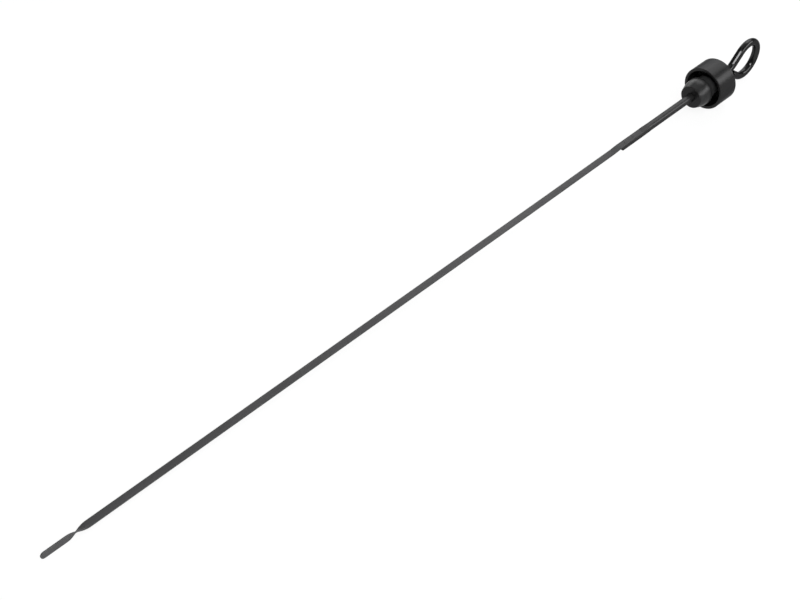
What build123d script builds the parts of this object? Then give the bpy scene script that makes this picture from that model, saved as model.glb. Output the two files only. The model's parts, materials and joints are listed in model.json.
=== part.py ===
from build123d import *
import math
import os

# Engine oil dipstick, all sizes in millimetres.
# It is drawn along its own axis first: X runs from the blade's tip to the finger ring, Z is square to the blade,
# and X = 0 is the open rim of the cap. At the end the whole stick is laid down as it rests on a table,
# on the tip of its blade and the rim of its cap.

# Cap: a cup that covers the mouth of the guide tube
cap_diameter = 28.5
cap_length = 15.8
cap_wall = 2.0
cap_floor = 3.0
cap_lip_radius = 0.4
cap_corner_radius = 0.8

# Plug: a stopper inside the cap, with a chamfered head on a neck
head_diameter = 18.5
head_length = 5.0
head_overhang = 2.5
nose_diameter = 14.6
nose_length = 4.9
neck_diameter = 14.6
rod_recess_gap = 0.6
rod_recess_depth = 2.0

# Rod: pressed flat tongue that carries the blade, straight shank, round finger ring
rod_diameter = 5.1
rod_clearance = 0.02
shank_length = 49.0
tongue_length = 19.7
tongue_rise = 0.8
tongue_depth = 2.0
tongue_edge_break = 0.2
taper_length = 3.0
ring_radius = 12.0
ring_reach = 31.0
ring_neck_radius = 12.0
leg_angle = 42.0
ring_end_angle = 234.0
ring_end_length = 9.0
rod_end_chamfer = 0.4

# Blade: a flat strip, stepped up onto the tongue, with a quarter turn near its rounded tip
blade_width = 4.4
blade_thickness = 0.7
blade_length = 442.9
blade_gap = 0.2
step_length = 4.0
step_gap = 1.0
tip_length = 14.3
twist_length = 12.7
twist_angle = 90.0
twist_steps = 8

# Places along the axis, each worked out from the piece that carries it
cap_back = cap_length
cap_inside = cap_back - cap_floor
head_back = -head_overhang
head_front = head_back - head_length
plug_front = head_front - nose_length
shank_foot = plug_front - shank_length
tongue_top = shank_foot - taper_length
rod_foot = tongue_top - tongue_length
blade_top = tongue_top - blade_gap
blade_tip = blade_top - blade_length
step_head = rod_foot - step_gap
step_foot = step_head - step_length
twist_foot = blade_tip + tip_length
twist_head = twist_foot + twist_length
blade_height = blade_thickness / 2
ring_centre = cap_back + ring_reach
rod_radius = rod_diameter / 2
bore_radius = rod_radius + rod_clearance


def turned(points, corners=()):
    """A solid turned about the X axis from an outline of (x, radius) points, some of its corners rounded."""
    outline = make_face(Plane.XZ * Polyline(*points, close=True))
    for (x, radius), rounding in corners:
        corner = outline.vertices().sort_by_distance((x, 0, radius))[0]
        outline = fillet(corner, rounding)
    return revolve(outline, Axis.X)


def make_cap():
    outer = cap_diameter / 2
    inner = outer - cap_wall
    outline = [
        (0, inner),
        (0, outer),
        (cap_back, outer),
        (cap_back, bore_radius),
        (cap_inside, bore_radius),
        (cap_inside, inner),
    ]
    corners = [
        ((0, inner), cap_lip_radius),
        ((0, outer), cap_lip_radius),
        ((cap_back, outer), cap_corner_radius),
        ((cap_inside, inner), cap_corner_radius),
    ]
    return turned(outline, corners)


def make_plug():
    head = head_diameter / 2
    outline = [
        (plug_front + rod_recess_depth, bore_radius),
        (plug_front + rod_recess_depth, rod_radius + rod_recess_gap),
        (plug_front, rod_radius + rod_recess_gap),
        (plug_front, nose_diameter / 2),
        (head_front, head),
        (head_back, head),
        (head_back, neck_diameter / 2),
        (cap_inside, neck_diameter / 2),
        (cap_inside, bore_radius),
    ]
    return turned(outline)


def ring_path():
    """The rod's centre line above the tongue: shank, bend, slanting leg, ring and its straight end."""
    slant = math.radians(leg_angle)
    leg_foot = ring_centre - ring_radius / math.sin(slant)
    leg_top = (ring_centre - ring_radius * math.sin(slant), ring_radius * math.cos(slant))
    ring_sweep = leg_angle + 90 + 360 - ring_end_angle
    shank = Line((shank_foot, 0), (leg_foot - ring_neck_radius * math.tan(slant / 2), 0))
    bend = JernArc(shank @ 1, shank % 1, ring_neck_radius, leg_angle)
    leg = Line(bend @ 1, leg_top)
    ring = JernArc(leg @ 1, leg % 1, ring_radius, -ring_sweep)
    end = Line(ring @ 1, (ring @ 1) + (ring % 1) * ring_end_length)
    return Plane.XZ * Wire([shank, bend, leg, ring, end])


def make_handle_rod():
    path = ring_path()
    section = Plane(path @ 0, z_dir=path % 0) * Circle(rod_radius)
    rod = sweep(section, path)
    end_face = rod.faces().sort_by_distance(path @ 1)[0]
    rod = chamfer(end_face.edges(), rod_end_chamfer)
    return rod + make_tongue()


def tongue_section(rise):
    """A block as wide as the blade, from the tongue's underside up to the given rise above the rod's axis."""
    return Pos(0, (rise - tongue_depth) / 2) * Rectangle(blade_width, rise + tongue_depth)


def make_tongue():
    """The rod's flat lower end, as wide as the blade, and the taper from the blade's face to the round shank."""
    foot = Plane((rod_foot, 0, 0), x_dir=(0, 1, 0), z_dir=(1, 0, 0))
    top = foot.offset(tongue_length)
    shank = top.offset(taper_length)
    flats = extrude(foot * tongue_section(tongue_rise), tongue_length)
    shoulder = tongue_section(tongue_rise + blade_thickness)
    flats += loft([top * shoulder, shank * Rectangle(rod_diameter, rod_diameter)])
    edge_radius = math.hypot(blade_width / 2, tongue_depth) - tongue_edge_break
    blank = turned([
        (rod_foot, 0),
        (rod_foot, edge_radius),
        (tongue_top, edge_radius),
        (shank_foot, rod_radius),
        (shank_foot, 0),
    ])
    return blank & flats


def blade_section(x, angle):
    """The blade's cross-section at x, turned about the blade's own centre line."""
    turn = math.radians(angle)
    across = (0, math.cos(turn), math.sin(turn))
    return Plane((x, 0, blade_height), x_dir=across, z_dir=(1, 0, 0)) * Rectangle(blade_width, blade_thickness)


def make_blade():
    under = [(twist_head, 0), (step_foot, 0), (step_head, tongue_rise), (blade_top, tongue_rise)]
    over = [(x, z + blade_thickness) for x, z in reversed(under)]
    body = extrude(make_face(Plane.XZ * Polyline(*under, *over, close=True)), blade_width / 2, both=True)
    # The turn starts and ends gently, so its angle follows a smooth step
    sections = []
    for step in range(twist_steps + 1):
        share = step / twist_steps
        angle = -twist_angle * (1 - share**2 * (3 - 2 * share))
        sections.append(blade_section(twist_foot + share * twist_length, angle))
    twist = loft(sections)
    nose = blade_width / 2
    plate = Pos(blade_tip + nose, 0) * Circle(nose)
    plate += Pos((blade_tip + nose + twist_foot) / 2, 0) * Rectangle(tip_length - nose, blade_width)
    tip = extrude(plate, blade_height, both=True)
    tip = Pos(0, 0, blade_height) * Rot(-twist_angle, 0, 0) * tip
    return body + twist + tip


def resting_place():
    """Where the stick lies: tilted about Y onto its tip and its cap's lip, with its box centred on the origin."""
    nose = blade_width / 2
    lip_x = cap_lip_radius
    lip_drop = cap_diameter / 2 - cap_lip_radius
    run = lip_x - (blade_tip + nose)
    drop = lip_drop + blade_height
    reach = math.hypot(run, drop)
    tilt = math.degrees(math.atan2(drop, run) - math.asin((nose - cap_lip_radius) / reach))
    return Rot(0, -tilt, 0)


nodes = {
    "blade": make_blade(),
    "handle_rod": make_handle_rod(),
    "cap": make_cap(),
    "plug": make_plug(),
}
tilted = Compound(children=[resting_place() * shape for shape in nodes.values()])
box = tilted.bounding_box()
middle = box.center()
place = Pos(-middle.X, -middle.Y, -box.min.Z) * resting_place()

os.makedirs("parts", exist_ok=True)
for name, shape in nodes.items():
    export_step(place * shape, f"parts/{name}.step")

head_centre = place * Pos((head_front + head_back) / 2, 0, 0)
away = place * Pos((head_front + head_back) / 2 - 1, 0, 0)
ring_middle = place * Pos(ring_centre, 0, 0)
print("head centre", head_centre.position, "pulls off towards", away.position - head_centre.position)
print("ring centre", ring_middle.position)
print("cap rim", (place * Pos(0, 0, 0)).position, "cap inside", (place * Pos(cap_inside, 0, 0)).position)
print("box", box.size)
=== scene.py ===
import bpy
import bmesh
import json
import math
from mathutils import Matrix, Quaternion, Vector


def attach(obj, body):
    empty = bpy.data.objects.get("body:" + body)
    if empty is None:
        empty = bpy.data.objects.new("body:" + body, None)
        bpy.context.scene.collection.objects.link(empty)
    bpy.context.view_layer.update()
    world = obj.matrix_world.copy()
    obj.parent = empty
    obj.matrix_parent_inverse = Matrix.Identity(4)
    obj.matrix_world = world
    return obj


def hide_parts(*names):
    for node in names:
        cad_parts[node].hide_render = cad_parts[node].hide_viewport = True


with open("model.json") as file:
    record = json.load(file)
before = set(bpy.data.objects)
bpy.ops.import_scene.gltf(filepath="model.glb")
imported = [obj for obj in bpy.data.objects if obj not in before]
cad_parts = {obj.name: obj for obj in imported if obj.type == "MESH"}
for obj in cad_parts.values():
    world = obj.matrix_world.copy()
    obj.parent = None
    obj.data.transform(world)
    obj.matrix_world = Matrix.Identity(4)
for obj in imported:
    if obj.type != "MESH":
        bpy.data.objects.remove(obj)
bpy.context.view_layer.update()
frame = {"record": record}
mm = 0.001

# The stick's own axis: X from the blade's tip to the ring, zero at the cap's open rim
plugMount = next(m for m in frame["record"]["mounts"] if m["name"] == "tube_plug")
rimAhead = 5.0 * mm  # from the middle of the plug's head to the rim
alongStick = -Vector(plugMount["axis"]).normalized()
acrossStick = Vector((0, 1, 0))
upFromBlade = alongStick.cross(acrossStick)
rimCentre = Vector(plugMount["pos_m"]) + alongStick * rimAhead
stickMatrix = Matrix((alongStick, acrossStick, upFromBlade)).transposed().to_4x4()
stickMatrix.translation = rimCentre
print("frame loaded, the stick's axis leans", round(math.degrees(math.asin(alongStick.z)), 3), "degrees")


def smoothStep(share):
    share = min(1.0, max(0.0, share))
    return share * share * (3 - 2 * share)


def spread(start, end, count):
    return [start + (end - start) * i / count for i in range(count + 1)]


def fullTurn(count):
    return [2 * math.pi * i / count for i in range(count)]


# A mesh from points in the stick's own axes, smooth except where faces meet at more than sharpAbove degrees
def addPiece(name, points, faces, sharpAbove=32):
    mesh = bpy.data.meshes.new(name)
    mesh.from_pydata([stickMatrix @ Vector(p) for p in points], [], faces)
    bm = bmesh.new()
    bm.from_mesh(mesh)
    bmesh.ops.recalc_face_normals(bm, faces=bm.faces)
    for face in bm.faces:
        face.smooth = True
    for edge in bm.edges:
        edge.smooth = edge.calc_face_angle(0) < math.radians(sharpAbove)
    bm.to_mesh(mesh)
    bm.free()
    piece = bpy.data.objects.new(name, mesh)
    bpy.context.scene.collection.objects.link(piece)
    return piece


# Rings of equal length become one closed skin, flat at both ends; base is the number of its first point
def skinRings(rings, base=0):
    size = len(rings[0])
    points = [p for ring in rings for p in ring]
    faces = []
    for i in range(len(rings) - 1):
        here = base + i * size
        for j in range(size):
            k = (j + 1) % size
            faces.append((here + j, here + k, here + size + k, here + size + j))
    last = base + (len(rings) - 1) * size
    faces.append(tuple(range(base + size - 1, base - 1, -1)))
    faces.append(tuple(range(last, last + size)))
    return points, faces


# A closed outline of (x, radius, rounding) corners, with each rounded corner cut into short chords
def roundOutline(corners, chords):
    outline = []
    count = len(corners)
    for i, (x, r, rounding) in enumerate(corners):
        here = Vector((x, r))
        if rounding == 0:
            outline.append(here)
            continue
        toBack = (Vector(corners[i - 1][:2]) - here).normalized()
        toNext = (Vector(corners[(i + 1) % count][:2]) - here).normalized()
        half = toBack.angle(toNext) / 2
        centre = here + (toBack + toNext).normalized() * (rounding / math.sin(half))
        first = here + toBack * (rounding / math.tan(half)) - centre
        last = here + toNext * (rounding / math.tan(half)) - centre
        for share in spread(0, 1, chords):
            outline.append(centre + first.lerp(last, share).normalized() * rounding)
    return outline


def turnOutline(outline, segments):
    size = len(outline)
    points = []
    faces = []
    for j, turn in enumerate(fullTurn(segments)):
        points += [(p.x, p.y * math.sin(turn), p.y * math.cos(turn)) for p in outline]
        k = (j + 1) % segments
        for i in range(size):
            n = (i + 1) % size
            faces.append((j * size + i, j * size + n, k * size + n, k * size + i))
    return points, faces


# In a finish, tones are greys, edge is the tint of grazing reflections, a noise is its scale, detail
# and stretch, and bump is its depth and strength
noiseReach = (0.3, 0.7)  # most of a noise lies between these
coolness = 1.01  # blue against red and green in every grey


def grey(level):
    return (level, level, level * coolness)


def newFinish(name, color, metallic, roughness, specular, edge=(1, 1, 1)):
    material = bpy.data.materials.new(name)
    material.use_nodes = True
    nodes = material.node_tree.nodes
    shader = nodes["Principled BSDF"]
    shader.inputs["Metallic"].default_value = metallic
    shader.inputs["Specular IOR Level"].default_value = specular
    shader.inputs["Specular Tint"].default_value = (*edge, 1)
    shader.inputs["Roughness"].default_value = roughness
    shader.inputs["Base Color"].default_value = (*color, 1)
    return material, nodes, material.node_tree.links, shader


# Noise in the piece's own coordinates, drawn out along an axis where its stretch is below 1
def addNoise(nodes, links, scale, detail, stretch=(1, 1, 1)):
    place = nodes.new("ShaderNodeTexCoord")
    mapping = nodes.new("ShaderNodeMapping")
    mapping.inputs["Scale"].default_value = stretch
    noise = nodes.new("ShaderNodeTexNoise")
    noise.inputs["Scale"].default_value = scale
    noise.inputs["Detail"].default_value = detail
    links.new(place.outputs["Object"], mapping.inputs["Vector"])
    links.new(mapping.outputs["Vector"], noise.inputs["Vector"])
    return noise.outputs["Fac"]


# Greys along a source from 0 to 1, as stops of position and tone
def addRamp(nodes, links, source, stops):
    ramp = nodes.new("ShaderNodeValToRGB")
    elements = ramp.color_ramp.elements
    elements[0].position = stops[0][0]
    elements[1].position = stops[-1][0]
    for position, tone in stops[1:-1]:
        elements.new(position).color = (*grey(tone), 1)
    elements[0].color = (*grey(stops[0][1]), 1)
    elements[-1].color = (*grey(stops[-1][1]), 1)
    links.new(source, ramp.inputs["Fac"])
    return ramp.outputs["Color"]


# A noise as a clouded grey between two tones
def addCloud(nodes, links, noise, tones):
    return addRamp(nodes, links, noise, list(zip(noiseReach, tones)))


def addRange(nodes, links, source, reach, low, high):
    span = nodes.new("ShaderNodeMapRange")
    span.inputs["From Min"].default_value = reach[0]
    span.inputs["From Max"].default_value = reach[1]
    span.inputs["To Min"].default_value = low
    span.inputs["To Max"].default_value = high
    links.new(source, span.inputs["Value"])
    return span.outputs["Result"]


# A value that changes between two places along the frame's X, which is every piece's own X too
def addAlong(nodes, links, reach, low=0, high=1):
    place = nodes.new("ShaderNodeTexCoord")
    parts = nodes.new("ShaderNodeSeparateXYZ")
    links.new(place.outputs["Object"], parts.inputs["Vector"])
    return addRange(nodes, links, parts.outputs["X"], reach, low, high)


# One of two colours, by a share from 0 to 1
def addBlend(nodes, links, share, first, second):
    blend = nodes.new("ShaderNodeMix")
    blend.data_type = "RGBA"
    links.new(share, blend.inputs["Factor"])
    links.new(first, blend.inputs["A"])
    links.new(second, blend.inputs["B"])
    return blend.outputs["Result"]


# One colour multiplied by another
def addTint(nodes, links, first, second):
    tint = nodes.new("ShaderNodeVectorMath")
    tint.operation = "MULTIPLY"
    links.new(first, tint.inputs[0])
    links.new(second, tint.inputs[1])
    return tint.outputs["Vector"]


def addProduct(nodes, links, first, second):
    product = nodes.new("ShaderNodeMath")
    product.operation = "MULTIPLY"
    links.new(first, product.inputs[0])
    links.new(second, product.inputs[1])
    return product.outputs["Value"]


def addBump(nodes, links, shader, source, depth, strength):
    bump = nodes.new("ShaderNodeBump")
    bump.inputs["Strength"].default_value = strength
    bump.inputs["Distance"].default_value = depth
    links.new(source, bump.inputs["Height"])
    links.new(bump.outputs["Normal"], shader.inputs["Normal"])


# Blade: a flat strip with a rounded tip, a quarter turn, and a step up onto the rod's tongue
bladeFacts = {
    "width": 4.4 * mm,
    "thickness": 0.7 * mm,
    "edgeRounding": 0.1 * mm,
    "edgeChords": 4,
    "roundingShare": 0.9,  # the most of the half width that the rounding takes, at the very tip
    "tip": -507.5 * mm,
    "tipFrom": math.radians(4),  # the round tip's first ring, as an angle about the tip's centre
    "twistStart": -493.2 * mm,
    "twistEnd": -480.5 * mm,
    "twistTurn": math.radians(-90),
    "leanStart": -170 * mm,
    "leanRise": 0.27 * mm,
    "stepStart": -94.0 * mm,
    "stepEnd": -85.1 * mm,
    "stepRise": 0.8 * mm,
    "top": -64.45 * mm,
    "rings": {"tip": 16, "flat": 8, "twist": 48, "strip": 60, "step": 12, "lap": 10},
    "weld": {
        "places": (-80.2 * mm, -72.5 * mm),
        "radius": 0.8 * mm,
        "height": 0.2 * mm,
        "sunk": 0.01 * mm,
        "rings": 6,
        "around": 32,
    },
    "finish": {
        "tones": (  # place along X and the steel's grey there, as painted shading: the tip plate, turned on edge, is painted lighter than the flat strip, and the strip darker step by step towards the lap
            (-285 * mm, 0.090),
            (-268 * mm, 0.088),
            (-257 * mm, 0.067),
            (-177 * mm, 0.061),
            (-77 * mm, 0.055),
            (23 * mm, 0.052),
            (123 * mm, 0.038),
            (148 * mm, 0.031),
        ),
        "uneven": (0.93, 1.07),
        "metallic": 0.6,
        "specular": 0.4,
        "edge": 0.4,
        "rough": (0.42, 0.5),
        "grain": (900, 4, (0.04, 1, 1)),
        "cloud": (60, 3),
        "bump": (0.004 * mm, 0.3),
    },
}


def bladeSection(x, halfWidth, turn, height):
    facts = bladeFacts
    halfThick = facts["thickness"] / 2
    rounding = min(facts["edgeRounding"], halfWidth * facts["roundingShare"])
    quarter = math.pi / 2
    ring = []
    for corner, (sideY, sideZ) in enumerate(((1, 1), (-1, 1), (-1, -1), (1, -1))):
        for angle in spread(corner * quarter, (corner + 1) * quarter, facts["edgeChords"]):
            y = sideY * (halfWidth - rounding) + rounding * math.cos(angle)
            z = sideZ * (halfThick - rounding) + rounding * math.sin(angle)
            ring.append((y, z))
    c, s = math.cos(turn), math.sin(turn)
    return [(x, y * c - z * s, y * s + z * c + height) for y, z in ring]


# A low dome where the blade was spot welded to the tongue, its underside just inside the blade
def weldDome(place, base):
    facts = bladeFacts["weld"]
    underside = bladeFacts["thickness"] + bladeFacts["stepRise"] - facts["sunk"]
    rings = []
    for step in range(facts["rings"]):
        share = 1 - step / facts["rings"]
        radius = facts["radius"] * share
        height = underside + facts["height"] * (1 - share ** 2)
        turns = fullTurn(facts["around"])
        rings.append([(place + radius * math.cos(t), radius * math.sin(t), height) for t in turns])
    return skinRings(rings, base)


def makeBlade():
    facts = bladeFacts
    counts = facts["rings"]
    half = facts["width"] / 2
    angles = spread(facts["tipFrom"], math.pi / 2, counts["tip"])
    places = [facts["tip"] + half * (1 - math.cos(a)) for a in angles]
    places += spread(places[-1], facts["twistStart"], counts["flat"])[1:]
    places += spread(facts["twistStart"], facts["twistEnd"], counts["twist"])[1:]
    places += spread(facts["twistEnd"], facts["stepStart"], counts["strip"])[1:]
    places += spread(facts["stepStart"], facts["stepEnd"], counts["step"])[1:]
    places += spread(facts["stepEnd"], facts["top"], counts["lap"])[1:]
    rings = []
    for x in places:
        fromTip = min(half, x - facts["tip"])
        halfWidth = math.sqrt(half ** 2 - (half - fromTip) ** 2)
        share = (facts["twistEnd"] - x) / (facts["twistEnd"] - facts["twistStart"])
        turn = facts["twistTurn"] * smoothStep(share)
        lean = smoothStep((x - facts["leanStart"]) / (facts["stepStart"] - facts["leanStart"]))
        step = smoothStep((x - facts["stepStart"]) / (facts["stepEnd"] - facts["stepStart"]))
        rise = facts["leanRise"] * lean + (facts["stepRise"] - facts["leanRise"]) * step
        rings.append(bladeSection(x, halfWidth, turn, facts["thickness"] / 2 + rise))
    points, faces = skinRings(rings)
    for place in facts["weld"]["places"]:
        domePoints, domeFaces = weldDome(place, len(points))
        points += domePoints
        faces += domeFaces
    return addPiece("bladeStrip", points, faces)


def bladeFinish():
    facts = bladeFacts["finish"]
    tones = facts["tones"]
    start, end = tones[0][0], tones[-1][0]
    material, nodes, links, shader = newFinish(
        "oiledBladeSteel", grey(tones[0][1]), facts["metallic"], facts["rough"][1], facts["specular"],
        grey(facts["edge"]))
    grain = addNoise(nodes, links, *facts["grain"])
    cloud = addNoise(nodes, links, *facts["cloud"])
    # The ramp along X paints shading into the steel's grey: lighter on the turned tip, darker towards the lap
    stops = [((place - start) / (end - start), tone) for place, tone in tones]
    along = addRamp(nodes, links, addAlong(nodes, links, (start, end)), stops)
    uneven = addCloud(nodes, links, cloud, facts["uneven"])
    links.new(addTint(nodes, links, along, uneven), shader.inputs["Base Color"])
    links.new(addRange(nodes, links, grain, noiseReach, *facts["rough"]), shader.inputs["Roughness"])
    addBump(nodes, links, shader, grain, *facts["bump"])
    return material


# Rod: a flat tongue under the blade, a taper to the round shank, a bend, a slanting leg and the finger ring
rodFacts = {
    "radius": 2.55 * mm,
    "foot": -84.1 * mm,
    "tongueTop": -64.4 * mm,
    "shankFoot": -55.4 * mm,
    "tongueHalfWidth": 2.2 * mm,
    "tongueRise": 0.8 * mm,
    "tongueDepth": 2.0 * mm,
    "tongueEdge": 2.77 * mm,
    "shoulderRise": 1.5 * mm,
    "shoulderAhead": 0.02 * mm,  # from the tongue's top to the shoulder's first ring
    "cornerPower": 30,  # how sharply the tongue's sides meet
    "taperSpread": 1.06,
    "ringCentre": 46.8 * mm,
    "ringRadius": 12.0 * mm,
    "bendRadius": 12.0 * mm,
    "legAngle": math.radians(42),
    "ringEndAngle": math.radians(234),
    "endLength": 9.0 * mm,
    "endRounding": 0.4 * mm,
    "around": 96,
    "rings": {
        "foot": 4, "tongue": 10, "taper": 20, "shank": 24, "bend": 20, "leg": 8, "ring": 120,
        "end": 6, "endRounding": 5,
    },
    "finish": {
        "shank": (0.034, 0.040),
        "ring": (0.029, 0.033),
        "polish": (235 * mm, 250 * mm),  # between these places the shank's finish turns into the ring's
        "metallic": (0.62, 0.9),  # on the shank, on the ring
        "rough": (0.29, 0.16),  # the same
        "uneven": (0.92, 1.08),
        "specular": 0.0,
        "edge": 0.5,
        "cloud": (240, 4),
        "pores": (1200, 2),
        "bump": (0.001 * mm, 0.15),
    },
}


# The round blank between flat sides: the tongue up to its top, and from there it swells into the shank
def tongueSection(x, shrink=0.0):
    facts = rodFacts
    share = max(0.0, (x - facts["tongueTop"]) / (facts["shankFoot"] - facts["tongueTop"]))
    wide = facts["radius"] * facts["taperSpread"]
    start = facts["shoulderRise"] if share > 0 else facts["tongueRise"]
    rise = start + (wide - start) * share
    halfWidth = facts["tongueHalfWidth"] + (wide - facts["tongueHalfWidth"]) * share - shrink
    depth = facts["tongueDepth"] + (wide - facts["tongueDepth"]) * share - shrink
    edge = facts["tongueEdge"] + (facts["radius"] - facts["tongueEdge"]) * share - shrink
    power = facts["cornerPower"]
    ring = []
    for turn in fullTurn(facts["around"]):
        c, s = math.cos(turn), math.sin(turn)
        # The blank's radius over the way to each side, joined by a high power so that corners stay a little soft
        cuts = (1, edge * abs(c) / halfWidth, edge * abs(s) / (rise if s > 0 else depth))
        reach = edge * sum(cut ** power for cut in cuts) ** (-1 / power)
        ring.append((x, reach * c, reach * s))
    return ring


def roundSection(x, z, heading, radius):
    ring = []
    for turn in fullTurn(rodFacts["around"]):
        side = radius * math.sin(turn)
        ring.append((x - side * math.sin(heading), radius * math.cos(turn), z + side * math.cos(heading)))
    return ring


def tongueRings():
    facts = rodFacts
    counts = facts["rings"]
    soften = facts["endRounding"]
    rings = []
    for a in spread(0, math.pi / 2, counts["foot"]):
        rings.append(tongueSection(facts["foot"] + soften * (1 - math.cos(a)), soften * (1 - math.sin(a))))
    flat = spread(facts["foot"] + soften, facts["tongueTop"], counts["tongue"])[1:]
    taper = spread(facts["tongueTop"] + facts["shoulderAhead"], facts["shankFoot"], counts["taper"])
    return rings + [tongueSection(x) for x in flat + taper]


# Shank, bend, slanting leg, ring and straight end, walked along the centre line
def shankRings():
    facts = rodFacts
    counts = facts["rings"]
    radius, bend, loop = facts["radius"], facts["bendRadius"], facts["ringRadius"]
    centre, leg, soften = facts["ringCentre"], facts["legAngle"], facts["endRounding"]
    legFoot = centre - loop / math.sin(leg)
    bendRun = bend * math.tan(leg / 2)
    bendStart = legFoot - bendRun
    rings = []
    for x in spread(facts["shankFoot"], bendStart, counts["shank"])[1:]:
        rings.append(roundSection(x, 0, 0, radius))
    for turn in spread(0, leg, counts["bend"])[1:]:
        x, z = bendStart + bend * math.sin(turn), bend * (1 - math.cos(turn))
        rings.append(roundSection(x, z, turn, radius))
    for run in spread(bendRun, loop / math.tan(leg), counts["leg"])[1:]:
        rings.append(roundSection(legFoot + run * math.cos(leg), run * math.sin(leg), leg, radius))
    ringEnd = facts["ringEndAngle"] - 2 * math.pi
    for turn in spread(leg + math.pi / 2, ringEnd, counts["ring"])[1:]:
        x, z = centre + loop * math.cos(turn), loop * math.sin(turn)
        rings.append(roundSection(x, z, turn - math.pi / 2, radius))
    heading = ringEnd - math.pi / 2
    endX, endZ = centre + loop * math.cos(ringEnd), loop * math.sin(ringEnd)
    steps = [(run, radius) for run in spread(0, facts["endLength"] - soften, counts["end"])[1:]]
    for a in spread(0, math.pi / 2, counts["endRounding"])[1:]:
        steps.append((facts["endLength"] - soften * (1 - math.sin(a)), radius - soften * (1 - math.cos(a))))
    for run, size in steps:
        x, z = endX + run * math.cos(heading), endZ + run * math.sin(heading)
        rings.append(roundSection(x, z, heading, size))
    return rings


def makeRod():
    points, faces = skinRings(tongueRings() + shankRings())
    return addPiece("rodAndRing", points, faces)


# The blackened steel is dull on the oily shank and rubbed smooth where fingers pull the ring
def rodFinish():
    facts = rodFacts["finish"]
    material, nodes, links, shader = newFinish(
        "blackRodSteel", grey(facts["shank"][0]), facts["metallic"][0], facts["rough"][0], facts["specular"],
        grey(facts["edge"]))
    cloud = addNoise(nodes, links, *facts["cloud"])
    pores = addNoise(nodes, links, *facts["pores"])
    shank = addCloud(nodes, links, cloud, facts["shank"])
    ring = addCloud(nodes, links, cloud, facts["ring"])
    share = addAlong(nodes, links, facts["polish"])
    links.new(addBlend(nodes, links, share, shank, ring), shader.inputs["Base Color"])
    links.new(addAlong(nodes, links, facts["polish"], *facts["metallic"]), shader.inputs["Metallic"])
    rough = addAlong(nodes, links, facts["polish"], *facts["rough"])
    uneven = addRange(nodes, links, cloud, noiseReach, *facts["uneven"])
    links.new(addProduct(nodes, links, rough, uneven), shader.inputs["Roughness"])
    addBump(nodes, links, shader, pores, *facts["bump"])
    return material


# Cap, a cup open towards the blade
capFacts = {
    "radius": 14.25 * mm,
    "length": 15.8 * mm,
    "wall": 2.0 * mm,
    "floor": 3.0 * mm,
    "bore": 2.57 * mm,
    "lipRounding": 0.4 * mm,
    "cornerRounding": 0.35 * mm,
    "boreRounding": 0.3 * mm,
    "chords": 8,
    "segments": 192,
    "finish": {
        "tones": (0.027, 0.031),
        "metallic": 0.75,
        "specular": 0.0,
        "edge": 0.5,
        "rough": (0.30, 0.34),
        "cloud": (180, 4),
        "skin": (3200, 2, (0.35, 1, 1)),
        "bump": (0.004 * mm, 0.3),
    },
}


def makeCap():
    facts = capFacts
    inner = facts["radius"] - facts["wall"]
    inside = facts["length"] - facts["floor"]
    corners = [
        (0, inner, facts["lipRounding"]),
        (0, facts["radius"], facts["lipRounding"]),
        (facts["length"], facts["radius"], facts["cornerRounding"]),
        (facts["length"], facts["bore"], facts["boreRounding"]),
        (inside, facts["bore"], 0),
        (inside, inner, facts["cornerRounding"]),
    ]
    points, faces = turnOutline(roundOutline(corners, facts["chords"]), facts["segments"])
    return addPiece("capCup", points, faces)


def capFinish():
    facts = capFacts["finish"]
    material, nodes, links, shader = newFinish(
        "satinCapBlack", grey(facts["tones"][0]), facts["metallic"], facts["rough"][1], facts["specular"],
        grey(facts["edge"]))
    cloud = addNoise(nodes, links, *facts["cloud"])
    skin = addNoise(nodes, links, *facts["skin"])
    links.new(addCloud(nodes, links, cloud, facts["tones"]), shader.inputs["Base Color"])
    links.new(addRange(nodes, links, cloud, noiseReach, *facts["rough"]), shader.inputs["Roughness"])
    addBump(nodes, links, shader, skin, *facts["bump"])
    return material


# Plug, a stopper with a tapered nose, on a neck inside the cap
plugFacts = {
    "front": -12.9 * mm,
    "headFront": -7.5 * mm,
    "headBack": -2.5 * mm,
    "neckEnd": 12.8 * mm,
    "noseRadius": 7.42 * mm,
    "headRadius": 9.25 * mm,
    "neckRadius": 7.3 * mm,
    "bore": 2.57 * mm,
    "recessRadius": 2.9 * mm,
    "recessDepth": 1.0 * mm,
    "edgeRounding": 0.15 * mm,
    "shoulderRounding": 16.0 * mm,
    "chords": 6,
    "segments": 160,
    "finish": {
        # Painted shade and light: the front face is painted darker than the sides, and the neck inside the cup
        # about three times lighter
        "paintedShadeFace": (0.023, 0.026),
        "sideTones": (0.031, 0.036),
        "neck": (0.085, 0.095),
        "faceEnd": (210.4 * mm, 210.8 * mm),  # places along X where the face, painted darker as shade, turns into the sides
        "neckStart": (220.6 * mm, 221.4 * mm),  # and the sides into the neck, which is painted lighter as if lit
        "metallic": 0.65,
        "specular": 0.0,
        "edge": 1.0,
        "rough": (0.30, 0.35),
        "cloud": (220, 4),
        "skin": (2400, 3),
        "bump": (0.004 * mm, 0.3),
    },
}


def makePlug():
    facts = plugFacts
    soft = facts["edgeRounding"]
    recess = facts["front"] + facts["recessDepth"]
    corners = [
        (recess, facts["bore"], 0),
        (recess, facts["recessRadius"], 0),
        (facts["front"], facts["recessRadius"], soft),
        (facts["front"], facts["noseRadius"], soft),
        (facts["headFront"], facts["headRadius"], facts["shoulderRounding"]),
        (facts["headBack"], facts["headRadius"], soft),
        (facts["headBack"], facts["neckRadius"], soft),
        (facts["neckEnd"], facts["neckRadius"], 0),
        (facts["neckEnd"], facts["bore"], 0),
    ]
    points, faces = turnOutline(roundOutline(corners, facts["chords"]), facts["segments"])
    return addPiece("plugStopper", points, faces)
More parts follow.
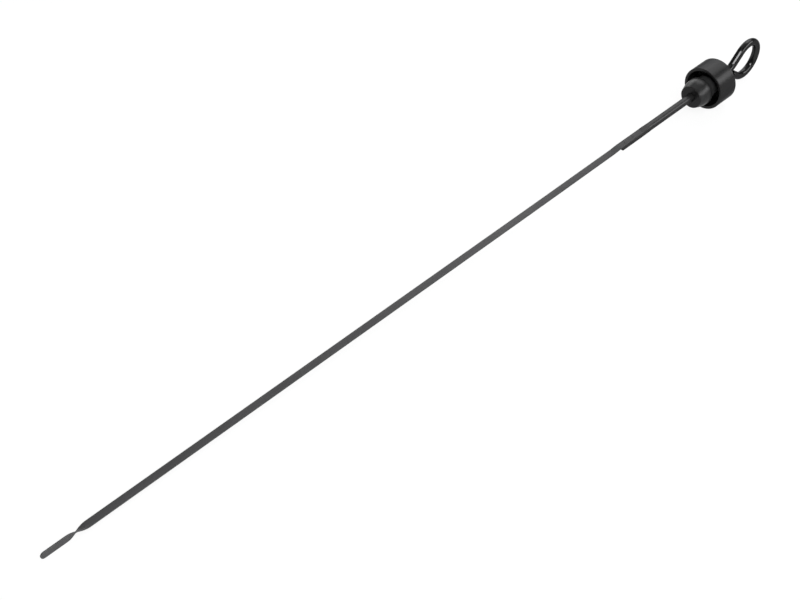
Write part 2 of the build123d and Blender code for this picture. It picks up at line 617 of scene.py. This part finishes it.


# The front face is painted darker as painted shade, and the neck in the cup lighter as painted light, against the
# sides' own tone
def plugFinish():
    facts = plugFacts["finish"]
    material, nodes, links, shader = newFinish(
        "plugRubberBlack", grey(facts["sideTones"][0]), facts["metallic"], facts["rough"][1], facts["specular"],
        grey(facts["edge"]))
    cloud = addNoise(nodes, links, *facts["cloud"])
    skin = addNoise(nodes, links, *facts["skin"])
    paintedShadeFace = addCloud(nodes, links, cloud, facts["paintedShadeFace"])
    sideTones = addCloud(nodes, links, cloud, facts["sideTones"])
    neck = addCloud(nodes, links, cloud, facts["neck"])
    # Painted shade on the front face and painted light on the neck, each blended in by place along X
    head = addBlend(nodes, links, addAlong(nodes, links, facts["faceEnd"]), paintedShadeFace, sideTones)
    whole = addBlend(nodes, links, addAlong(nodes, links, facts["neckStart"]), head, neck)
    links.new(whole, shader.inputs["Base Color"])
    links.new(addRange(nodes, links, cloud, noiseReach, *facts["rough"]), shader.inputs["Roughness"])
    addBump(nodes, links, shader, skin, *facts["bump"])
    return material


for makePiece, node, slotName, finish in (
    (makeBlade, "blade", "blade_steel", bladeFinish),
    (makeRod, "handle_rod", "rod_steel", rodFinish),
    (makeCap, "cap", "cap_plastic", capFinish),
    (makePlug, "plug", "plug_rubber", plugFinish),
):
    piece = makePiece()
    piece.data.materials.append(finish())
    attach(piece, "root")
    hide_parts(node)
    print("made", piece.name, "with", len(piece.data.polygons), "faces")

# Camera, placed from the stick's own axis
cameraFacts = {
    "lookAlong": -273.2 * mm,
    "lookAcross": 1.3 * mm,
    "distance": 747.1 * mm,
    "round": math.radians(45),
    "up": math.radians(45),
    "lens": 61.875,
    "sensor": 36,
    "shift": 0.5 / 800,  # half a pixel of the picture's width
    "clip": (0.01, 50),
}


def makeCamera():
    facts = cameraFacts
    level = math.cos(facts["up"])
    c, s = math.cos(facts["round"]), math.sin(facts["round"])
    back = Vector((-s * level, -c * level, math.sin(facts["up"])))
    right = Vector((c, -s, 0))
    turned = Matrix((right, back.cross(right), back)).transposed().to_4x4()
    turned.translation = Vector((facts["lookAlong"], facts["lookAcross"], 0)) + back * facts["distance"]
    data = bpy.data.cameras.new("stickCamera")
    data.lens = facts["lens"]
    data.sensor_width = facts["sensor"]
    data.shift_x = -facts["shift"]
    data.shift_y = facts["shift"]
    data.clip_start, data.clip_end = facts["clip"]
    camera = bpy.data.objects.new("stickCamera", data)
    camera.matrix_world = stickMatrix @ turned
    bpy.context.scene.collection.objects.link(camera)
    bpy.context.scene.camera = camera


# Pale floor, white to the camera and to reflections, with part of the real light left so that it keeps the shadow
floorFacts = {"size": 12.0, "color": 0.9, "white": 0.9, "roughness": 0.9, "specular": 0.1}


# 1 for what is seen, directly, mirrored or through something clear, and 0 for light that falls on things
def addBackgroundShare(nodes, links):
    path = nodes.new("ShaderNodeLightPath")
    first = nodes.new("ShaderNodeMath")
    second = nodes.new("ShaderNodeMath")
    first.operation = second.operation = "MAXIMUM"
    links.new(path.outputs["Is Camera Ray"], first.inputs[0])
    links.new(path.outputs["Is Glossy Ray"], first.inputs[1])
    links.new(first.outputs["Value"], second.inputs[0])
    links.new(path.outputs["Is Transmission Ray"], second.inputs[1])
    return second.outputs["Value"]


def makeFloor():
    facts = floorFacts
    half = facts["size"] / 2
    corners = [(-half, -half, 0), (half, -half, 0), (half, half, 0), (-half, half, 0)]
    mesh = bpy.data.meshes.new("paleFloor")
    mesh.from_pydata(corners, [], [(0, 1, 2, 3)])
    floor = bpy.data.objects.new("paleFloor", mesh)
    bpy.context.scene.collection.objects.link(floor)
    material, nodes, links, shader = newFinish(
        "paleFloor", (facts["color"],) * 3, 0, facts["roughness"], facts["specular"])
    glow = nodes.new("ShaderNodeEmission")
    mixed = nodes.new("ShaderNodeMixShader")
    share = addRange(nodes, links, addBackgroundShare(nodes, links), (0, 1), 0, facts["white"])
    links.new(share, mixed.inputs["Fac"])
    links.new(shader.outputs["BSDF"], mixed.inputs[1])
    links.new(glow.outputs["Emission"], mixed.inputs[2])
    links.new(mixed.outputs["Shader"], nodes["Material Output"].inputs["Surface"])
    mesh.materials.append(material)


# What is seen or mirrored is white round the horizon and falls to a grey ceiling, between the heights in fall
worldFacts = {"ambient": 0.1, "horizon": 1.0, "ceiling": 0.2, "fall": (0.03, 0.25)}


def makeWorld():
    facts = worldFacts
    world = bpy.context.scene.world or bpy.data.worlds.new("studioWorld")
    bpy.context.scene.world = world
    world.use_nodes = True
    nodes = world.node_tree.nodes
    links = world.node_tree.links
    place = nodes.new("ShaderNodeTexCoord")
    parts = nodes.new("ShaderNodeSeparateXYZ")
    links.new(place.outputs["Generated"], parts.inputs["Vector"])
    dome = addRange(nodes, links, parts.outputs["Z"], facts["fall"], facts["horizon"], facts["ceiling"])
    level = nodes.new("ShaderNodeMapRange")
    level.inputs["To Min"].default_value = facts["ambient"]
    links.new(dome, level.inputs["To Max"])
    links.new(addBackgroundShare(nodes, links), level.inputs["Value"])
    links.new(level.outputs["Result"], nodes["Background"].inputs["Strength"])
    nodes["Background"].inputs["Color"].default_value = (1, 1, 1, 1)


# Soft studio light: each panel hangs in a direction seen from the cap and faces it, rolled by some degrees
panelFacts = {
    "frontPanel": {  # rolled so that the ring's leg mirrors it as one long streak
        "towards": (-0.50, -0.40, 0.77), "distance": 1.5, "roll": -28, "size": (1.2, 0.22), "power": 16.5},
    "overPanel": {
        "towards": (0.15, 0.22, 0.96), "distance": 1.4, "roll": 0, "size": (1.3, 1.3), "power": 2.6},
    "sidePanel": {
        "towards": (0.45, -0.74, 0.51), "distance": 1.4, "roll": 0, "size": (1.7, 0.5), "power": 16.0},
    "backPanel": {
        "towards": (0.60, 0.68, 0.38), "distance": 1.4, "roll": 0, "size": (1.3, 0.75), "power": 11.0},
    "farPanel": {
        "towards": (0.62, 0.21, 0.74), "distance": 1.4, "roll": 0, "size": (1.0, 0.8), "power": 7.6},
}


def makePanel(name, facts):
    data = bpy.data.lights.new(name, "AREA")
    data.shape = "RECTANGLE"
    data.size, data.size_y = facts["size"]
    data.energy = facts["power"]
    lamp = bpy.data.objects.new(name, data)
    towards = Vector(facts["towards"]).normalized()
    roll = Quaternion((0, 0, 1), math.radians(facts["roll"]))
    lamp.location = rimCentre + towards * facts["distance"]
    lamp.rotation_euler = (towards.to_track_quat("Z", "Y") @ roll).to_euler()
    lamp.visible_camera = False
    bpy.context.scene.collection.objects.link(lamp)


makeCamera()
makeFloor()
makeWorld()
for panelName, panel in panelFacts.items():
    makePanel(panelName, panel)
bpy.context.scene.view_settings.view_transform = "Standard"
print("camera, floor and lights set")
